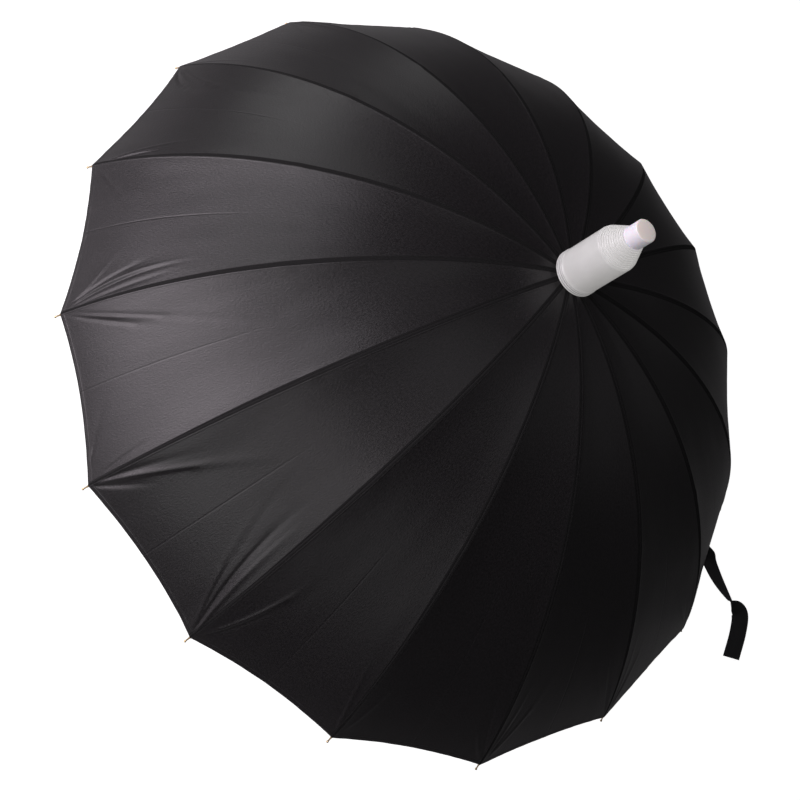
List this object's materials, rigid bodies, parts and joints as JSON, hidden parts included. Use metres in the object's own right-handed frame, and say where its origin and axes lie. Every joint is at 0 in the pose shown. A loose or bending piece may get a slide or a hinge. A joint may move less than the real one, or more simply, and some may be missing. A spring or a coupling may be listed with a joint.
{
  "type": "umbrella",
  "caption": "Open stick umbrella with a domed sewn canopy on sprung ribs, sliding runner, hook handle, closing strap and a telescoping drip sleeve over the ferrule.",
  "frame": {"origin": "middle of the handle's straight grip, on the shaft's axis", "axes": "+Z along the shaft towards the ferrule cap; the hook bends towards +X"},
  "size_m": [1.0286, 1.0286, 0.9562],
  "materials": {
    "shaft_steel": "black painted steel tube",
    "handle_grip": "matt black rubber over a plastic core",
    "collar_metal": "bright turned ring",
    "hub_plastic": "black moulded nylon",
    "spring_steel": "bare spring steel",
    "canopy_cloth": "black pongee with a faint sheen",
    "strap_webbing": "black ribbed webbing",
    "rib_rod": "black glass-fibre rod with a gilt metal tip",
    "stretcher_steel": "black painted channel",
    "sleeve_plastic": "milky translucent polypropylene",
    "cap_plastic": "opaque pinkish white plastic"
  },
  "bodies": {
    "umbrella": {"shaft": "shaft_steel", "handle": "handle_grip", "handle_collar": "collar_metal", "crown": "hub_plastic", "crown_wire": "spring_steel", "crown_pin": "spring_steel", "canopy_washer": "hub_plastic", "canopy": "canopy_cloth", "strap": "strap_webbing", "strap_patch": "strap_webbing", "ferrule_cap": "cap_plastic", "sleeve_section_01": "sleeve_plastic", "sleeve_section_02": "sleeve_plastic", "sleeve_section_03": "sleeve_plastic", "sleeve_section_04": "sleeve_plastic", "sleeve_section_05": "sleeve_plastic", "sleeve_section_06": "sleeve_plastic", "sleeve_section_07": "sleeve_plastic", "sleeve_section_08": "sleeve_plastic", "sleeve_section_09": "sleeve_plastic", "sleeve_section_10": "sleeve_plastic"},
    "runner": {"runner": "hub_plastic"},
    "sleeve_cup": {"sleeve_cup": "sleeve_plastic"},
    "open_catch": {"open_catch_spring": "spring_steel"},
    "closed_catch": {"closed_catch_spring": "spring_steel"},
    "rib_01": {"rib_01": "rib_rod"},
    "stretcher_01": {"stretcher_01": "stretcher_steel"},
    "rib_02": {"rib_02": "rib_rod"},
    "stretcher_02": {"stretcher_02": "stretcher_steel"},
    "rib_03": {"rib_03": "rib_rod"},
    "stretcher_03": {"stretcher_03": "stretcher_steel"},
    "rib_04": {"rib_04": "rib_rod"},
    "stretcher_04": {"stretcher_04": "stretcher_steel"},
    "rib_05": {"rib_05": "rib_rod"},
    "stretcher_05": {"stretcher_05": "stretcher_steel"},
    "rib_06": {"rib_06": "rib_rod"},
    "stretcher_06": {"stretcher_06": "stretcher_steel"},
    "rib_07": {"rib_07": "rib_rod"},
    "stretcher_07": {"stretcher_07": "stretcher_steel"},
    "rib_08": {"rib_08": "rib_rod"},
    "stretcher_08": {"stretcher_08": "stretcher_steel"},
    "rib_09": {"rib_09": "rib_rod"},
    "stretcher_09": {"stretcher_09": "stretcher_steel"},
    "rib_10": {"rib_10": "rib_rod"},
    "stretcher_10": {"stretcher_10": "stretcher_steel"},
    "rib_11": {"rib_11": "rib_rod"},
    "stretcher_11": {"stretcher_11": "stretcher_steel"},
    "rib_12": {"rib_12": "rib_rod"},
    "stretcher_12": {"stretcher_12": "stretcher_steel"},
    "rib_13": {"rib_13": "rib_rod"},
    "stretcher_13": {"stretcher_13": "stretcher_steel"},
    "rib_14": {"rib_14": "rib_rod"},
    "stretcher_14": {"stretcher_14": "stretcher_steel"},
    "rib_15": {"rib_15": "rib_rod"},
    "stretcher_15": {"stretcher_15": "stretcher_steel"},
    "rib_16": {"rib_16": "rib_rod"},
    "stretcher_16": {"stretcher_16": "stretcher_steel"}
  },
  "joints": [
    {"name": "runner_slide", "type": "slide", "parent": "umbrella", "child": "runner", "axis": [0, 0, -1], "range_m": [0, 0.4631], "deforming": ["canopy", "strap", "strap_patch", "rib_01", "rib_02", "rib_03", "rib_04", "rib_05", "rib_06", "rib_07", "rib_08", "rib_09", "rib_10", "rib_11", "rib_12", "rib_13", "rib_14", "rib_15", "rib_16"]},
    {"name": "sleeve_lower", "type": "slide", "parent": "umbrella", "child": "sleeve_cup", "axis": [0, 0, -1], "range_m": [0, 0.003]},
    {"name": "open_catch_press", "type": "slide", "parent": "umbrella", "child": "open_catch", "axis": [-1, 0, 0], "range_m": [0, 0.0024], "stiffness_N_per_m": 1200, "deforming": ["open_catch_spring"]},
    {"name": "closed_catch_press", "type": "slide", "parent": "umbrella", "child": "closed_catch", "axis": [-1, 0, 0], "range_m": [0, 0.0024], "stiffness_N_per_m": 1200, "deforming": ["closed_catch_spring"]},
    {"name": "rib_fold_01", "type": "hinge", "parent": "umbrella", "child": "rib_01", "pos_m": [0.01273, 0, 0.74617], "axis": [0, 1, 0], "range_deg": [0, 72.84]},
    {"name": "stretcher_fold_01", "type": "hinge", "parent": "rib_01", "child": "stretcher_01", "pos_m": [0.31599, 0, 0.66368], "axis": [0, -1, 0], "range_deg": [0, 145.63]},
    {"name": "rib_fold_02", "type": "hinge", "parent": "umbrella", "child": "rib_02", "pos_m": [0.01176, 0.00487, 0.74617], "axis": [-0.3827, 0.9239, 0], "range_deg": [0, 72.84]},
    {"name": "stretcher_fold_02", "type": "hinge", "parent": "rib_02", "child": "stretcher_02", "pos_m": [0.29194, 0.12093, 0.66368], "axis": [0.3827, -0.9239, 0], "range_deg": [0, 145.63]},
    {"name": "rib_fold_03", "type": "hinge", "parent": "umbrella", "child": "rib_03", "pos_m": [0.009, 0.009, 0.74617], "axis": [-0.7071, 0.7071, 0], "range_deg": [0, 72.84]},
    {"name": "stretcher_fold_03", "type": "hinge", "parent": "rib_03", "child": "stretcher_03", "pos_m": [0.22344, 0.22344, 0.66368], "axis": [0.7071, -0.7071, 0], "range_deg": [0, 145.63]},
    {"name": "rib_fold_04", "type": "hinge", "parent": "umbrella", "child": "rib_04", "pos_m": [0.00487, 0.01176, 0.74617], "axis": [-0.9239, 0.3827, 0], "range_deg": [0, 72.84]},
    {"name": "stretcher_fold_04", "type": "hinge", "parent": "rib_04", "child": "stretcher_04", "pos_m": [0.12093, 0.29194, 0.66368], "axis": [0.9239, -0.3827, 0], "range_deg": [0, 145.63]},
    {"name": "rib_fold_05", "type": "hinge", "parent": "umbrella", "child": "rib_05", "pos_m": [0, 0.01273, 0.74617], "axis": [-1, 0, 0], "range_deg": [0, 72.84]},
    {"name": "stretcher_fold_05", "type": "hinge", "parent": "rib_05", "child": "stretcher_05", "pos_m": [0, 0.31599, 0.66368], "axis": [1, 0, 0], "range_deg": [0, 145.63]},
    {"name": "rib_fold_06", "type": "hinge", "parent": "umbrella", "child": "rib_06", "pos_m": [-0.00487, 0.01176, 0.74617], "axis": [-0.9239, -0.3827, 0], "range_deg": [0, 72.84]},
    {"name": "stretcher_fold_06", "type": "hinge", "parent": "rib_06", "child": "stretcher_06", "pos_m": [-0.12093, 0.29194, 0.66368], "axis": [0.9239, 0.3827, 0], "range_deg": [0, 145.63]},
    {"name": "rib_fold_07", "type": "hinge", "parent": "umbrella", "child": "rib_07", "pos_m": [-0.009, 0.009, 0.74617], "axis": [-0.7071, -0.7071, 0], "range_deg": [0, 72.84]},
    {"name": "stretcher_fold_07", "type": "hinge", "parent": "rib_07", "child": "stretcher_07", "pos_m": [-0.22344, 0.22344, 0.66368], "axis": [0.7071, 0.7071, 0], "range_deg": [0, 145.63]},
    {"name": "rib_fold_08", "type": "hinge", "parent": "umbrella", "child": "rib_08", "pos_m": [-0.01176, 0.00487, 0.74617], "axis": [-0.3827, -0.9239, 0], "range_deg": [0, 72.84]},
    {"name": "stretcher_fold_08", "type": "hinge", "parent": "rib_08", "child": "stretcher_08", "pos_m": [-0.29194, 0.12093, 0.66368], "axis": [0.3827, 0.9239, 0], "range_deg": [0, 145.63]},
    {"name": "rib_fold_09", "type": "hinge", "parent": "umbrella", "child": "rib_09", "pos_m": [-0.01273, 0, 0.74617], "axis": [0, -1, 0], "range_deg": [0, 72.84]},
    {"name": "stretcher_fold_09", "type": "hinge", "parent": "rib_09", "child": "stretcher_09", "pos_m": [-0.31599, 0, 0.66368], "axis": [0, 1, 0], "range_deg": [0, 145.63]},
    {"name": "rib_fold_10", "type": "hinge", "parent": "umbrella", "child": "rib_10", "pos_m": [-0.01176, -0.00487, 0.74617], "axis": [0.3827, -0.9239, 0], "range_deg": [0, 72.84]},
    {"name": "stretcher_fold_10", "type": "hinge", "parent": "rib_10", "child": "stretcher_10", "pos_m": [-0.29194, -0.12093, 0.66368], "axis": [-0.3827, 0.9239, 0], "range_deg": [0, 145.63]},
    {"name": "rib_fold_11", "type": "hinge", "parent": "umbrella", "child": "rib_11", "pos_m": [-0.009, -0.009, 0.74617], "axis": [0.7071, -0.7071, 0], "range_deg": [0, 72.84]},
    {"name": "stretcher_fold_11", "type": "hinge", "parent": "rib_11", "child": "stretcher_11", "pos_m": [-0.22344, -0.22344, 0.66368], "axis": [-0.7071, 0.7071, 0], "range_deg": [0, 145.63]},
    {"name": "rib_fold_12", "type": "hinge", "parent": "umbrella", "child": "rib_12", "pos_m": [-0.00487, -0.01176, 0.74617], "axis": [0.9239, -0.3827, 0], "range_deg": [0, 72.84]},
    {"name": "stretcher_fold_12", "type": "hinge", "parent": "rib_12", "child": "stretcher_12", "pos_m": [-0.12093, -0.29194, 0.66368], "axis": [-0.9239, 0.3827, 0], "range_deg": [0, 145.63]},
    {"name": "rib_fold_13", "type": "hinge", "parent": "umbrella", "child": "rib_13", "pos_m": [0, -0.01273, 0.74617], "axis": [1, 0, 0], "range_deg": [0, 72.84]},
    {"name": "stretcher_fold_13", "type": "hinge", "parent": "rib_13", "child": "stretcher_13", "pos_m": [0, -0.31599, 0.66368], "axis": [-1, 0, 0], "range_deg": [0, 145.63]},
    {"name": "rib_fold_14", "type": "hinge", "parent": "umbrella", "child": "rib_14", "pos_m": [0.00487, -0.01176, 0.74617], "axis": [0.9239, 0.3827, 0], "range_deg": [0, 72.84]},
    {"name": "stretcher_fold_14", "type": "hinge", "parent": "rib_14", "child": "stretcher_14", "pos_m": [0.12093, -0.29194, 0.66368], "axis": [-0.9239, -0.3827, 0], "range_deg": [0, 145.63]},
    {"name": "rib_fold_15", "type": "hinge", "parent": "umbrella", "child": "rib_15", "pos_m": [0.009, -0.009, 0.74617], "axis": [0.7071, 0.7071, 0], "range_deg": [0, 72.84]},
    {"name": "stretcher_fold_15", "type": "hinge", "parent": "rib_15", "child": "stretcher_15", "pos_m": [0.22344, -0.22344, 0.66368], "axis": [-0.7071, -0.7071, 0], "range_deg": [0, 145.63]},
    {"name": "rib_fold_16", "type": "hinge", "parent": "umbrella", "child": "rib_16", "pos_m": [0.01176, -0.00487, 0.74617], "axis": [0.3827, 0.9239, 0], "range_deg": [0, 72.84]},
    {"name": "stretcher_fold_16", "type": "hinge", "parent": "rib_16", "child": "stretcher_16", "pos_m": [0.29194, -0.12093, 0.66368], "axis": [-0.3827, -0.9239, 0], "range_deg": [0, 145.63]}
  ],
  "couplings": [
    {"joint": "rib_fold_01", "follows": "runner_slide", "rad_per_m": 2.7431},
    {"joint": "stretcher_fold_01", "follows": "runner_slide", "rad_per_m": 5.4861},
    {"joint": "rib_fold_02", "follows": "runner_slide", "rad_per_m": 2.7431},
    {"joint": "stretcher_fold_02", "follows": "runner_slide", "rad_per_m": 5.4861},
    {"joint": "rib_fold_03", "follows": "runner_slide", "rad_per_m": 2.7431},
    {"joint": "stretcher_fold_03", "follows": "runner_slide", "rad_per_m": 5.4861},
    {"joint": "rib_fold_04", "follows": "runner_slide", "rad_per_m": 2.7431},
    {"joint": "stretcher_fold_04", "follows": "runner_slide", "rad_per_m": 5.4861},
    {"joint": "rib_fold_05", "follows": "runner_slide", "rad_per_m": 2.7431},
    {"joint": "stretcher_fold_05", "follows": "runner_slide", "rad_per_m": 5.4861},
    {"joint": "rib_fold_06", "follows": "runner_slide", "rad_per_m": 2.7431},
    {"joint": "stretcher_fold_06", "follows": "runner_slide", "rad_per_m": 5.4861},
    {"joint": "rib_fold_07", "follows": "runner_slide", "rad_per_m": 2.7431},
    {"joint": "stretcher_fold_07", "follows": "runner_slide", "rad_per_m": 5.4861},
    {"joint": "rib_fold_08", "follows": "runner_slide", "rad_per_m": 2.7431},
    {"joint": "stretcher_fold_08", "follows": "runner_slide", "rad_per_m": 5.4861},
    {"joint": "rib_fold_09", "follows": "runner_slide", "rad_per_m": 2.7431},
    {"joint": "stretcher_fold_09", "follows": "runner_slide", "rad_per_m": 5.4861},
    {"joint": "rib_fold_10", "follows": "runner_slide", "rad_per_m": 2.7431},
    {"joint": "stretcher_fold_10", "follows": "runner_slide", "rad_per_m": 5.4861},
    {"joint": "rib_fold_11", "follows": "runner_slide", "rad_per_m": 2.7431},
    {"joint": "stretcher_fold_11", "follows": "runner_slide", "rad_per_m": 5.4861},
    {"joint": "rib_fold_12", "follows": "runner_slide", "rad_per_m": 2.7431},
    {"joint": "stretcher_fold_12", "follows": "runner_slide", "rad_per_m": 5.4861},
    {"joint": "rib_fold_13", "follows": "runner_slide", "rad_per_m": 2.7431},
    {"joint": "stretcher_fold_13", "follows": "runner_slide", "rad_per_m": 5.4861},
    {"joint": "rib_fold_14", "follows": "runner_slide", "rad_per_m": 2.7431},
    {"joint": "stretcher_fold_14", "follows": "runner_slide", "rad_per_m": 5.4861},
    {"joint": "rib_fold_15", "follows": "runner_slide", "rad_per_m": 2.7431},
    {"joint": "stretcher_fold_15", "follows": "runner_slide", "rad_per_m": 5.4861},
    {"joint": "rib_fold_16", "follows": "runner_slide", "rad_per_m": 2.7431},
    {"joint": "stretcher_fold_16", "follows": "runner_slide", "rad_per_m": 5.4861}
  ]
}
